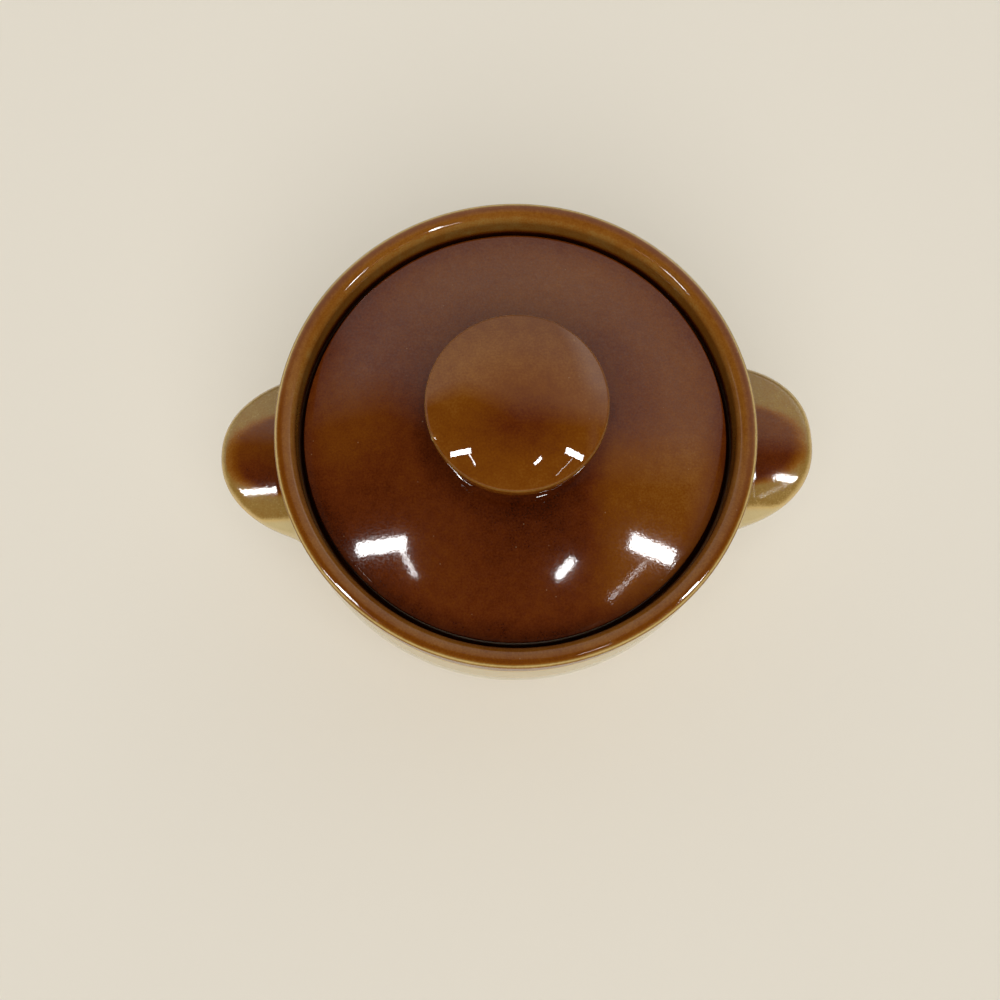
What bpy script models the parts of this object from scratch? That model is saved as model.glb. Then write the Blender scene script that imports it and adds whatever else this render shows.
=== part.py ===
"""A lidded stoneware casserole dish: a turned pot with two lug handles, and a recessed lid with a wide knob.

Metres, +Z up. The origin is the middle of the plane that the foot ring stands on. The handles lie along X.
"""

import bmesh
import bpy
from mathutils import Vector
from mathutils.geometry import interpolate_bezier

# Clearances
JOIN_GAP = 0.0003  # between pieces that are stuck together with slip
SEAT_GAP = 0.0003  # between the lid's seat and the pot's ledge

# Pot: heights are from the table up, and drops are from the rim's outer edge down
RIM_HEIGHT = 0.092
RIM_RADIUS = 0.070
RIM_CROWN = 0.0014
RIM_WIDTH = 0.0046
RIM_LIP = 0.0032
RIM_OVERHANG = 0.0014
BELLY_BULGE = 0.0042  # how far the belly stands out past the rim
BELLY_DROP = 0.039
FOOT_RADIUS = 0.052
FOOT_WIDTH = 0.006
FOOT_HEIGHT = 0.003
WALL = 0.006
FLOOR = 0.0065
FLOOR_ROUND = 0.010  # how far from the foot's inner edge the floor starts to curve up

# Ledge inside the rim that carries the lid
LEDGE_DROP = 0.0109
LEDGE_WIDTH = 0.0062
LEDGE_THICKNESS = 0.0045
LEDGE_TAPER = 0.0012  # how much wider the recess is at its top

# Lid: a shallow dome with a locating ring below its seat
LID_PLAY = 0.0013  # between the lid's edge and the wall of the recess
LID_EDGE = 0.0050
LID_RISE = 0.0080
LID_WALL = 0.0060
RING_PLAY = 0.0014  # between the locating ring and the ledge's bore
RING_DEPTH = 0.0060
RING_WIDTH = 0.0045

# Knob: a thick waisted disc, hollow from below
KNOB_RADIUS = 0.0246
KNOB_HEIGHT = 0.0215
KNOB_CROWN = 0.0047
KNOB_SIDE = 0.0060
KNOB_BASE = 0.0262
KNOB_BASE_EDGE = 0.0010
KNOB_WAIST_DEPTH = 0.0052  # how far the waist is drawn in from the knob's edge
KNOB_WALL = 0.0065
KNOB_HOLLOW = 0.0140

# Handles: domed lugs of oval plan, tilted up at their tips, whose middles lie inside the pot's wall
HANDLE_REACH = 0.0227  # past the belly
HANDLE_ROOT = 0.0235  # from the belly in to the middle of the lug
HANDLE_LENGTH = 0.0604
HANDLE_EDGE = 0.0090  # thickness at the edge
HANDLE_CROWN = 0.0070  # how much higher the top is at the lug's middle than at its edge
HANDLE_SWELL = 0.0060  # how much lower the underside is at the lug's middle
HANDLE_DROP = 0.0363
HANDLE_TILT = 0.13  # radians

# Roundings
RIM_ROUND = 0.0030
EDGE_ROUND = 0.0008
LID_ROUND = 0.0028
KNOB_ROUND = 0.0018
HANDLE_TOP_ROUND = 0.0020
HANDLE_UNDER_ROUND = 0.0040

# Curves: how far each end's pull reaches, as a share of the stretch that the curve crosses
NECK_PULL = (0.26, 0.26)  # out and down
BELLY_PULL = 0.42
FOOT_PULL = (0.50, 0.18)  # out and up
FLOOR_PULL = 0.62
LEDGE_PULL = (0.60, 0.20)  # out and down
WAIST_PULL = 0.12
WAIST_LEAN = 1.3  # a curve stays short of its pulls, so the waist's are this much deeper
FILLET_PULL = 0.56  # close to a round arc at a right angle

# Facets
TURN_STEPS = 48
ROUND_STEPS = 2
WALL_STEPS = 6
DOME_STEPS = 5
CROWN_SHARES = (0, 0.25, 0.5, 0.75, 0.9)  # how far out the points of a crown lie

# What the pieces share
BELLY_RADIUS = RIM_RADIUS + BELLY_BULGE
BELLY_HEIGHT = RIM_HEIGHT - BELLY_DROP
NECK_RADIUS = RIM_RADIUS - RIM_OVERHANG
NECK_HEIGHT = RIM_HEIGHT - RIM_LIP
RIM_INNER_RADIUS = RIM_RADIUS - RIM_WIDTH
LEDGE_HEIGHT = RIM_HEIGHT - LEDGE_DROP
RECESS_RADIUS = RIM_INNER_RADIUS - LEDGE_TAPER
BORE_RADIUS = RECESS_RADIUS - LEDGE_WIDTH
FLOOR_HEIGHT = FOOT_HEIGHT + FLOOR
SEAT_HEIGHT = LEDGE_HEIGHT + SEAT_GAP
LID_RADIUS = RECESS_RADIUS - LID_PLAY
RING_RADIUS = BORE_RADIUS - RING_PLAY
LID_TOP = LID_EDGE + LID_RISE


def linear(hex_colour):
    """An sRGB colour such as 6B2F0A as the linear red, green, blue and alpha that a shader takes."""
    shares = [int(hex_colour[start:start + 2], 16) / 255 for start in (0, 2, 4)]
    return [share / 12.92 if share <= 0.04045 else ((share + 0.055) / 1.055) ** 2.4 for share in shares] + [1]


def glaze(name, hex_colour, roughness):
    """A glossy stoneware glaze of one colour."""
    material = bpy.data.materials.new(name)
    material.use_nodes = True
    shader = material.node_tree.nodes["Principled BSDF"]
    shader.inputs["Base Color"].default_value = linear(hex_colour)
    shader.inputs["Roughness"].default_value = roughness
    shader.inputs["Metallic"].default_value = 0.0
    return material


def curve(start, start_pull, end_pull, end, steps):
    """Points along a Bezier curve between two (radius, height) places, with both of them."""
    places = [Vector((*place, 0)) for place in (start, start_pull, end_pull, end)]
    return [tuple(point[:2]) for point in interpolate_bezier(*places, steps + 1)]


def rounded(before, corner, after, size):
    """Points that round the corner of an outline, starting size before it where its sides are long enough."""
    at = Vector(corner)
    sides = [Vector(before) - at, Vector(after) - at]
    ends = [at + side.normalized() * min(size, side.length * 0.45) for side in sides]
    pulls = [end.lerp(at, FILLET_PULL) for end in ends]
    return curve(ends[0], pulls[0], pulls[1], ends[1], ROUND_STEPS)


def outline(*corners):
    """Joins (radius, height, rounding) corners into one outline. Its two ends have no rounding."""
    points = [corners[0][:2]]
    for before, corner, after in zip(corners, corners[1:], corners[2:]):
        points += rounded(before[:2], corner[:2], after[:2], corner[2])
    return points + [corners[-1][:2]]


def turned(name, points, closed=False):
    """An object whose (radius, height) profile is turned about Z. The profile runs down its outer side."""
    mesh = bpy.data.meshes.new(name)
    profile = bmesh.new()
    vertices = [profile.verts.new((radius, 0, height)) for radius, height in points]
    for first, second in zip(vertices, vertices[1:]):
        profile.edges.new((first, second))
    if closed:
        profile.edges.new((vertices[-1], vertices[0]))
    profile.to_mesh(mesh)
    profile.free()
    thing = bpy.data.objects.new(name, mesh)
    screw = thing.modifiers.new("turn", "SCREW")
    screw.steps = TURN_STEPS
    screw.render_steps = TURN_STEPS
    screw.use_merge_vertices = True
    screw.merge_threshold = 0.00005
    screw.use_smooth_shade = True
    return thing


def pot_outside():
    """The pot's outer side from the rim's crest down to the foot's outer edge."""
    crest = (RIM_RADIUS - RIM_WIDTH / 2, RIM_HEIGHT + RIM_CROWN)
    neck = (NECK_RADIUS, NECK_HEIGHT)
    belly = (BELLY_RADIUS, BELLY_HEIGHT)
    foot = (FOOT_RADIUS, FOOT_HEIGHT)
    rim = outline(crest, (RIM_RADIUS, RIM_HEIGHT, EDGE_ROUND), neck)
    spread = BELLY_RADIUS - NECK_RADIUS
    fall = NECK_HEIGHT - BELLY_HEIGHT
    shoulder = curve(
        neck,
        (NECK_RADIUS + spread * NECK_PULL[0], NECK_HEIGHT - fall * NECK_PULL[1]),
        (BELLY_RADIUS, BELLY_HEIGHT + fall * BELLY_PULL),
        belly,
        WALL_STEPS,
    )
    spread = BELLY_RADIUS - FOOT_RADIUS
    fall = BELLY_HEIGHT - FOOT_HEIGHT
    bowl = curve(
        belly,
        (BELLY_RADIUS, BELLY_HEIGHT - fall * BELLY_PULL),
        (FOOT_RADIUS + spread * FOOT_PULL[0], FOOT_HEIGHT + fall * FOOT_PULL[1]),
        foot,
        WALL_STEPS,
    )
    stand = outline(foot, (FOOT_RADIUS - EDGE_ROUND, 0, EDGE_ROUND), (FOOT_RADIUS - FOOT_WIDTH / 2, 0))
    return rim[:-1] + shoulder[:-1] + bowl[:-1] + stand


def pot_inside():
    """The pot's inner side from the middle of the floor up over the ledge to the rim's crest."""
    floor_edge = (FOOT_RADIUS - FOOT_WIDTH - FLOOR_ROUND, FLOOR_HEIGHT)
    belly = (BELLY_RADIUS - WALL, BELLY_HEIGHT)
    ledge_root = (BORE_RADIUS, LEDGE_HEIGHT - LEDGE_THICKNESS)
    spread = belly[0] - floor_edge[0]
    rise = BELLY_HEIGHT - FLOOR_HEIGHT
    bowl = curve(
        floor_edge,
        (floor_edge[0] + spread * FLOOR_PULL, FLOOR_HEIGHT),
        (belly[0], BELLY_HEIGHT - rise * FLOOR_PULL),
        belly,
        WALL_STEPS,
    )
    spread = belly[0] - BORE_RADIUS
    rise = ledge_root[1] - BELLY_HEIGHT
    shoulder = curve(
        belly,
        (belly[0], BELLY_HEIGHT + rise * BELLY_PULL),
        (BORE_RADIUS + spread * LEDGE_PULL[0], ledge_root[1] - rise * LEDGE_PULL[1]),
        ledge_root,
        WALL_STEPS,
    )
    recess = outline(
        ledge_root,
        (BORE_RADIUS, LEDGE_HEIGHT, EDGE_ROUND),
        (RECESS_RADIUS, LEDGE_HEIGHT, EDGE_ROUND),
        (RIM_INNER_RADIUS, RIM_HEIGHT + RIM_CROWN, RIM_ROUND),
        (RIM_RADIUS - RIM_WIDTH / 2, RIM_HEIGHT + RIM_CROWN),
    )
    return [(0, FLOOR_HEIGHT)] + bowl[:-1] + shoulder[:-1] + recess


def make_pot():
    underside = outline(
        (FOOT_RADIUS - FOOT_WIDTH / 2, 0),
        (FOOT_RADIUS - FOOT_WIDTH, 0, EDGE_ROUND),
        (FOOT_RADIUS - FOOT_WIDTH - EDGE_ROUND, FOOT_HEIGHT, EDGE_ROUND),
        (0, FOOT_HEIGHT),
    )
    pot = turned("pot_body", pot_inside()[:-1] + pot_outside() + underside[1:])
    pot.data.materials.append(glaze("cream_glaze", "D8CBA6", 0.15))
    return pot


def make_pot_envelope():
    """The space that the pot takes up, widened by the joint, which the handles are cut back from."""
    top = RIM_HEIGHT + RIM_CROWN + HANDLE_EDGE
    wall = [(radius + JOIN_GAP, height) for radius, height in pot_outside()]
    envelope = turned("pot_envelope", [(0, top), (wall[0][0], top)] + wall + [(0, 0)])
    envelope.hide_render = True
    envelope.display_type = "WIRE"
    return envelope


def make_handle(name, side, envelope):
    """A lug on one side of the pot: side is -1 on the left and 1 on the right."""
    half_length = HANDLE_ROOT + HANDLE_REACH
    edge = HANDLE_EDGE / 2
    top = [(half_length * share, edge + HANDLE_CROWN * (1 - share ** 2)) for share in CROWN_SHARES]
    under = [(half_length * share, -edge - HANDLE_SWELL * (1 - share ** 2)) for share in reversed(CROWN_SHARES)]
    tip = outline(
        top[-1],
        (half_length, edge, HANDLE_TOP_ROUND),
        (half_length, -edge, HANDLE_UNDER_ROUND),
        under[0],
    )
    handle = turned(name, top[:-1] + tip + under[1:])
    handle.data.materials.append(glaze(name + "_glaze", "6A3D22", 0.12))
    handle.location = (side * (BELLY_RADIUS - HANDLE_ROOT), 0, RIM_HEIGHT - HANDLE_DROP)
    handle.rotation_euler = (0, -side * HANDLE_TILT, 0)
    handle.scale = (1, HANDLE_LENGTH / 2 / half_length, 1)
    cut = handle.modifiers.new("seat_on_pot", "BOOLEAN")
    cut.operation = "DIFFERENCE"
    cut.solver = "EXACT"
    cut.object = envelope
    return handle


def lid_dome(radius):
    """Height of the lid's top above its seat, at a distance from the axis."""
    return LID_EDGE + LID_RISE * (1 - (radius / LID_RADIUS) ** 2)


def dome_line(start, end, shift):
    """Points along the lid's dome between two radii, shifted up or down."""
    radii = [start + (end - start) * step / DOME_STEPS for step in range(DOME_STEPS + 1)]
    return [(radius, lid_dome(radius) + shift) for radius in radii]


def make_lid():
    ring_inner = RING_RADIUS - RING_WIDTH
    edge_start = LID_RADIUS - LID_ROUND * 1.5
    top = dome_line(KNOB_HOLLOW, edge_start, 0)
    below = dome_line(ring_inner - LID_ROUND, KNOB_HOLLOW, -LID_WALL)
    side = outline(
        top[-1],
        (LID_RADIUS, LID_EDGE, LID_ROUND),
        (LID_RADIUS, 0, EDGE_ROUND),
        (RING_RADIUS, 0, EDGE_ROUND),
        (RING_RADIUS, -RING_DEPTH, EDGE_ROUND),
        (ring_inner, -RING_DEPTH, EDGE_ROUND),
        (ring_inner, lid_dome(ring_inner) - LID_WALL, EDGE_ROUND),
        below[0],
    )
    lid = turned("lid", top[:-1] + side[:-1] + below, closed=True)
    lid.data.materials.append(glaze("red_brown_glaze", "6B2F0A", 0.08))
    return lid


def make_knob():
    """The knob, with heights from the top of the lid's dome."""
    def seat(radius):
        return lid_dome(radius) - LID_TOP + JOIN_GAP

    edge_height = KNOB_HEIGHT - KNOB_CROWN
    side_foot = (KNOB_RADIUS, edge_height - KNOB_SIDE)
    base_top = (KNOB_BASE, seat(KNOB_BASE) + KNOB_BASE_EDGE)
    waist_radius = KNOB_RADIUS - KNOB_WAIST_DEPTH * WAIST_LEAN
    waist_length = side_foot[1] - base_top[1]
    crown = [(KNOB_RADIUS * share, edge_height + KNOB_CROWN * (1 - share ** 2)) for share in CROWN_SHARES]
    side = outline(
        crown[-1],
        (KNOB_RADIUS, edge_height, KNOB_ROUND),
        (*side_foot, KNOB_ROUND),
        (waist_radius, side_foot[1] - waist_length * WAIST_PULL),
    )[:-1]
    waist = curve(
        side[-1],
        (waist_radius, side_foot[1] - waist_length * WAIST_PULL),
        (waist_radius, base_top[1] + waist_length * WAIST_PULL),
        base_top,
        WALL_STEPS,
    )
    bottom = dome_line(KNOB_BASE, KNOB_HOLLOW, JOIN_GAP - LID_TOP)
    roof = KNOB_HEIGHT - KNOB_WALL
    hollow = outline(bottom[-1], (KNOB_HOLLOW, roof, KNOB_ROUND * 2), (0, roof))
    knob = turned("lid_knob", crown[:-1] + side[:-1] + waist + bottom + hollow[1:])
    knob.data.materials.append(glaze("amber_brown_glaze", "73400C", 0.08))
    return knob


def main():
    for thing in list(bpy.data.objects):
        bpy.data.objects.remove(thing, do_unlink=True)
    parts = bpy.data.collections.new("casserole_dish")
    cutters = bpy.data.collections.new("cutters")
    for group in (parts, cutters):
        bpy.context.scene.collection.children.link(group)

    envelope = make_pot_envelope()
    cutters.objects.link(envelope)

    # The lid's empty stands on the axis that the lid lifts along, at the height of its seat
    lid_axis = bpy.data.objects.new("lid_axis", None)
    lid_axis.location = (0, 0, SEAT_HEIGHT)
    parts.objects.link(lid_axis)
    lid = make_lid()
    knob = make_knob()
    knob.location = (0, 0, LID_TOP)
    for piece in (lid, knob):
        piece.parent = lid_axis

    pot = make_pot()
    handles = [make_handle("left_handle", -1, envelope), make_handle("right_handle", 1, envelope)]
    for handle in handles:
        handle.parent = pot
    for piece in (pot, *handles, lid, knob):
        parts.objects.link(piece)


main()
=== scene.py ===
# %% [markdown]
# # A lidded stoneware casserole dish
# The dish is a wheel-thrown pot with two lug handles, and a lid that sits down inside the rim with a wide
# knob on it. The pot is cream outside, and a brown glaze covers its inside, its rim, its lid and the tops
# of its handles. This script takes the dish's measured solids as a fixed frame and gives them their looks.

# %% Load the frame
import math

import bpy
import numpy as np
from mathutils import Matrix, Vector
from mathutils.geometry import interpolate_bezier


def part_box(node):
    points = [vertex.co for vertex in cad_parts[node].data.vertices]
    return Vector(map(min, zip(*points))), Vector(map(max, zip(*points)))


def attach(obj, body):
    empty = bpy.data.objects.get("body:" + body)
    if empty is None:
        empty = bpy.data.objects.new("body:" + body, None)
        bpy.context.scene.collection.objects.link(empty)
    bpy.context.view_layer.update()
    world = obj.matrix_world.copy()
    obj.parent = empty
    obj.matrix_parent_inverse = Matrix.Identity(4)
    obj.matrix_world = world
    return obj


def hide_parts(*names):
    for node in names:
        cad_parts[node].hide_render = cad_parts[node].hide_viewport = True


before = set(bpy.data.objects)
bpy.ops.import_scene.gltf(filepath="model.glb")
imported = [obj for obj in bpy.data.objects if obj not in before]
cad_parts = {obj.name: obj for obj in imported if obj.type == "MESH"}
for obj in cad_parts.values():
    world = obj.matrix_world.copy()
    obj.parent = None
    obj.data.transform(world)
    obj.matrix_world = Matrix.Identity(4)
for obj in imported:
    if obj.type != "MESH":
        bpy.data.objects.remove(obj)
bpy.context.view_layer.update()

MM = 0.001

# %% [markdown]
# ## The camera
# The photograph looks steeply down on the dish from close by, with the wide lens of a phone. A camera at
# the same place, with the same field of view, gives the same ellipses for the rim, the lid and the knob.

# %% Camera
CAMERA_PLACE = (-6.56 * MM, -65.02 * MM, 301.14 * MM)
CAMERA_TILT = math.radians(11.4)  # from straight down
CAMERA_TURN = math.radians(-1.77)
CAMERA_LENS = 27.04  # mm
SENSOR_WIDTH = 36  # mm

bpy.ops.object.select_all(action="DESELECT")
bpy.ops.object.camera_add(location=CAMERA_PLACE, rotation=(CAMERA_TILT, 0, CAMERA_TURN))
camera = bpy.context.object
camera.data.lens = CAMERA_LENS
camera.data.sensor_width = SENSOR_WIDTH
camera.data.clip_start = MM
bpy.context.scene.camera = camera
print("camera:", [round(value / MM) for value in camera.location], "mm")

# %% [markdown]
# ## Small tools
# Colours are written as sRGB hex values, as a paint program shows them, and turned to the linear light
# that shaders work in. One function adds a node, sets its properties and fills or links its inputs.

# %% Colour and node helpers
def linear(hex_colour):
    """The linear red, green, blue and alpha of an sRGB colour such as 6B2F0A."""
    shares = [int(hex_colour[start:start + 2], 16) / 255 for start in (0, 2, 4)]
    return [share / 12.92 if share <= 0.04045 else ((share + 0.055) / 1.055) ** 2.4 for share in shares] + [1]


def add(tree, kind, inputs=None, **settings):
    """Adds a node. Each input, by name or number, takes a value or another node's output."""
    node = tree.nodes.new(kind)
    for name, value in settings.items():
        setattr(node, name, value)
    for name, value in (inputs or {}).items():
        if isinstance(value, bpy.types.NodeSocket):
            tree.links.new(value, node.inputs[name])
        else:
            node.inputs[name].default_value = value
    return node


print("the middle of the sRGB scale is", round(linear("808080")[0], 3), "in linear light")

# %% [markdown]
# ## Floor, room and lamps
# The dish stands on a plain pale floor. A glossy glaze mirrors its surroundings, so the room matters as much
# as the lamps: it is pale behind the dish, on its right and along the horizon, and dim overhead and in front,
# which leaves the front of the lid dark and lays a pale veil over its back.

# %% Floor
FLOOR_SIZE = 12.0
PAPER_COLOUR = linear("E4DCCD")
PAPER_ROUGHNESS = 0.9

bpy.ops.object.select_all(action="DESELECT")
bpy.ops.mesh.primitive_plane_add(size=FLOOR_SIZE)
floor = bpy.context.object
floor.name = "floor"
# Matt paper: it has no highlights of its own, so that only the glaze shines
paper = bpy.data.materials.new("pale_paper")
paper.use_nodes = True
paper_shader = paper.node_tree.nodes["Principled BSDF"]
paper_shader.inputs["Base Color"].default_value = PAPER_COLOUR
paper_shader.inputs["Roughness"].default_value = PAPER_ROUGHNESS
floor.data.materials.append(paper)
print("floor:", FLOOR_SIZE, "m across")

# %% [markdown]
# ### The room
# A direction is divided by its height, which gives the place where it meets a ceiling one unit up: across
# is that place to the right, and away is that place towards the back. The borders of the pale parts of the
# room are then straight lines on that ceiling. A picture of a room would do as well, but a few ramps are
# quicker to change: each follows one value, from a start to an end.

# %% Directions in the room
LOWEST_RISE = 0.05  # keeps the division away from zero at the horizon

world = bpy.data.worlds.new("room")
bpy.context.scene.world = world
world.use_nodes = True
tree = world.node_tree
generated = add(tree, "ShaderNodeTexCoord").outputs["Generated"]
direction = add(tree, "ShaderNodeSeparateXYZ", {0: generated}).outputs
rise = add(tree, "ShaderNodeMath", {0: direction["Z"], 1: LOWEST_RISE}, operation="MAXIMUM").outputs[0]
across = add(tree, "ShaderNodeMath", {0: direction["X"], 1: rise}, operation="DIVIDE").outputs[0]
away = add(tree, "ShaderNodeMath", {0: direction["Y"], 1: rise}, operation="DIVIDE").outputs[0]
on_ceiling = add(tree, "ShaderNodeCombineXYZ", {"X": across, "Y": away}).outputs[0]
apart = add(tree, "ShaderNodeVectorMath", {0: on_ceiling}, operation="LENGTH").outputs["Value"]
followed = {"across": across, "away": away, "apart": apart, "height": direction["Z"]}
print("the room's ramps follow", list(followed))

# %% Ramps of the room
# What each ramp follows, where it starts and ends, and its values there
ROOM_RAMPS = {
    "border_middle": ("across", (-0.50, 0.05), (0.50, 0.16)),  # how far back the dim ceiling reaches
    "border_left": ("across", (-1.3, -1.0), (0.10, 0.50)),
    "outwards": ("apart", (0.3, 1.1), (0.5, 1.0)),  # the pale back is brighter away from overhead
    "right": ("across", (0.7, 1.0), (0, 1)),  # and brightest far back on the right
    "right_back": ("away", (0.35, 0.7), (0, 1.2)),
    "far_right": ("across", (1.15, 1.5), (1.0, 0.3)),
    "downwards": ("apart", (2.2, 3.2), (1.0, 0.15)),  # and it ends well above the horizon
    "strip_start": ("across", (0.72, 0.86), (0, 0.3)),  # a paler strip runs towards the viewer
    "strip_end": ("across", (0.96, 0.86), (0, 1)),
    "strip_near": ("away", (-0.3, -0.1), (0, 1)),
    "low_glow": ("height", (0.3, 0.15), (0, 0.15)),  # a faint glow lies low down, all round
    "horizon": ("height", (0.12, 0.02), (0, 1)),  # the mirrored backdrop fades out upwards
}

ramps = {}
for name, (source, (start, end), (first, last)) in ROOM_RAMPS.items():
    limits = {"Value": followed[source], "From Min": start, "From Max": end, "To Min": first, "To Max": last}
    ramps[name] = add(tree, "ShaderNodeMapRange", limits).outputs[0]
print("room:", len(ramps), "ramps")

# %% Pale parts of the room
BORDER_SOFT = (-0.10, 0.14)  # where the pale back sets in before its border, and is full past it

borders = {0: ramps["border_middle"], 1: ramps["border_left"]}
border = add(tree, "ShaderNodeMath", borders, operation="MINIMUM").outputs[0]
past_border = add(tree, "ShaderNodeMath", {0: away, 1: border}, operation="SUBTRACT").outputs[0]
limits = {"Value": past_border, "From Min": BORDER_SOFT[0], "From Max": BORDER_SOFT[1]}
back_wall = add(tree, "ShaderNodeMapRange", limits).outputs[0]
boost = {0: ramps["right"], 1: ramps["right_back"], 2: 1}
rightwards = add(tree, "ShaderNodeMath", boost, operation="MULTIPLY_ADD").outputs[0]
for level in (rightwards, ramps["far_right"], ramps["outwards"], ramps["downwards"]):
    back_wall = add(tree, "ShaderNodeMath", {0: back_wall, 1: level}, operation="MULTIPLY").outputs[0]
strip = ramps["strip_start"]
for level in (ramps["strip_end"], ramps["strip_near"]):
    strip = add(tree, "ShaderNodeMath", {0: strip, 1: level}, operation="MULTIPLY").outputs[0]
pale = ramps["low_glow"]
for part in (back_wall, strip):
    pale = add(tree, "ShaderNodeMath", {0: pale, 1: part}, operation="MAXIMUM").outputs[0]
print("room:", len(tree.nodes), "nodes so far")

# %% Colours of the room
ROOM_PALE = linear("CDD0CE")
ROOM_DIM = linear("2A2420")
BACKDROP = linear("E2DACB")

shades = {0: pale, 6: ROOM_DIM, 7: ROOM_PALE}
tint = add(tree, "ShaderNodeMix", shades, data_type="RGBA", clamp_factor=False).outputs[2]
# A plain pale backdrop stands behind the floor. The camera sees it, and the glaze mirrors it at the horizon
ray = add(tree, "ShaderNodeLightPath").outputs
rays = {0: ray["Is Glossy Ray"], 1: ray["Is Transmission Ray"]}
mirrored = add(tree, "ShaderNodeMath", rays, operation="ADD").outputs[0]
terms = {0: mirrored, 1: ramps["horizon"], 2: ray["Is Camera Ray"]}
shown = add(tree, "ShaderNodeMath", terms, operation="MULTIPLY_ADD").outputs[0]
view = add(tree, "ShaderNodeMix", {0: shown, 6: tint, 7: BACKDROP}, data_type="RGBA").outputs[2]
tree.links.new(view, tree.nodes["Background"].inputs["Color"])
print("room:", len(tree.nodes), "nodes")

# %% [markdown]
# ### The lamps
# One very soft sun gives the even light. It stays out of the glaze's reflections, where it would show as a
# huge pale disc. Small panels, strips and a bar on the ceiling give the sharp highlights, and nothing else.

# %% Lamps
CEILING = 1.2
SUN_SPREAD = math.radians(75)
SUN_TILT = math.radians(30)
SUN_STRENGTH = 2.8
# Each ceiling lamp: its place over the floor, its length and width, its turn, and how bright it looks
CEILING_LAMPS = {
    "left_panel": ((-0.608, -0.187), (0.262, 0.056), 5, 42),
    "left_strip": ((-0.470, -0.270), (0.136, 0.014), -64, 26),
    "right_panel": ((0.664, -0.243), (0.254, 0.070), -20, 42),
    "right_strip": ((0.535, -0.380), (0.262, 0.008), 42, 14),
    "middle_bar": ((0.230, -0.313), (0.104, 0.030), 46, 40),
}

bpy.ops.object.light_add(type="SUN", location=(0, 0, CEILING), rotation=(SUN_TILT, 0, 0))
sun = bpy.context.object
sun.name = "soft_sun"
sun.data.angle = SUN_SPREAD
sun.data.energy = SUN_STRENGTH
sun.visible_glossy = False
for name, (place, (length, width), turn, brightness) in CEILING_LAMPS.items():
    bpy.ops.object.light_add(type="AREA", location=(*place, CEILING), rotation=(0, 0, math.radians(turn)))
    lamp = bpy.context.object
    lamp.name = name
    lamp.data.shape = "RECTANGLE"
    lamp.data.size = length
    lamp.data.size_y = width
    lamp.data.energy = math.pi * length * width * brightness
    lamp.visible_diffuse = False

# %% [markdown]
# ## Drawing and turning a profile
# A thrown pot is a turned shape: half of its outline, swept round its axis. The outline starts as one
# vertex, which is extruded from point to point, and the spin operator sweeps it. Long stretches are
# Bezier curves and corners are rounded, so that the glaze runs over them without a break.

# %% Profile helpers
FILLET_PULL = 0.56  # close to a round arc at a right angle
ROUND_STEPS = 6
ROUND_SHARE = 0.45  # how much of a side a rounding may take up


def curve(start, start_pull, end_pull, end, steps):
    """Points along a Bezier curve between two (radius, height) places, with both of them."""
    places = [Vector((*place, 0)) for place in (start, start_pull, end_pull, end)]
    return [tuple(point[:2]) for point in interpolate_bezier(*places, steps + 1)]


def rounded(before, corner, after, size):
    """Points that round the corner of an outline, starting size before it where its sides are long enough."""
    at = Vector(corner)
    sides = [Vector(before) - at, Vector(after) - at]
    ends = [at + side.normalized() * min(size, side.length * ROUND_SHARE) for side in sides]
    pulls = [end.lerp(at, FILLET_PULL) for end in ends]
    return curve(ends[0], pulls[0], pulls[1], ends[1], ROUND_STEPS)


def outline(*corners):
    """Joins (radius, height, rounding) corners into one outline. Its two ends have no rounding."""
    points = [corners[0][:2]]
    for before, corner, after in zip(corners, corners[1:], corners[2:]):
        points += rounded(before[:2], corner[:2], after[:2], corner[2])
    return points + [corners[-1][:2]]


def arc(middle, size, start, end):
    """Points round an arc, between two turns of its normal away from straight up."""
    turns = [start + (end - start) * step / ROUND_STEPS for step in range(ROUND_STEPS + 1)]
    return [(middle[0] + size * math.sin(turn), middle[1] + size * math.cos(turn)) for turn in turns]


def spaced(points, gap):
    """Adds points along the straight stretches of an outline, so that none is longer than gap."""
    dense = points[:1]
    for before, after in zip(points, points[1:]):
        steps = math.ceil(math.dist(before, after) / gap)
        start, end = Vector(before), Vector(after)
        dense += [tuple(start.lerp(end, step / steps)) for step in range(1, steps + 1)]
    return dense


print("a rounded corner has", ROUND_STEPS + 1, "points")

# %% Turning helper
MERGE_GAP = 0.005 * MM


def turned(name, points, steps):
    """Draws a (radius, height) outline by extruding one vertex along it, and spins it about Z."""
    bpy.ops.object.select_all(action="DESELECT")
    bpy.ops.mesh.primitive_plane_add(size=MM)
    piece = bpy.context.object
    piece.name = name
    piece.data.name = name
    bpy.ops.object.mode_set(mode="EDIT")
    bpy.ops.mesh.select_mode(type="VERT")
    bpy.ops.mesh.select_all(action="SELECT")
    bpy.ops.mesh.merge(type="CENTER")
    bpy.ops.transform.translate(value=(points[0][0], 0, points[0][1]))
    for before, after in zip(points, points[1:]):
        step = (after[0] - before[0], 0, after[1] - before[1])
        bpy.ops.mesh.extrude_region_move(TRANSFORM_OT_translate={"value": step})
    bpy.ops.mesh.select_all(action="SELECT")
    bpy.ops.mesh.spin(steps=steps, angle=math.tau, center=(0, 0, 0), axis=(0, 0, 1))
    bpy.ops.mesh.select_all(action="SELECT")
    bpy.ops.mesh.remove_doubles(threshold=MERGE_GAP)
    bpy.ops.mesh.normals_make_consistent(inside=False)
    bpy.ops.object.mode_set(mode="OBJECT")
    bpy.ops.object.shade_smooth()
    print(name, "has", len(piece.data.polygons), "faces")
    return piece


# %% [markdown]
# ## Moving and painting points
# An operator moves all that is selected in one way. Where each point moves by its own amount, as on a handle
# that grows out of a wall, the points are read into an array, moved there and written back. Painted values
# are worked out on the same arrays.

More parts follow.
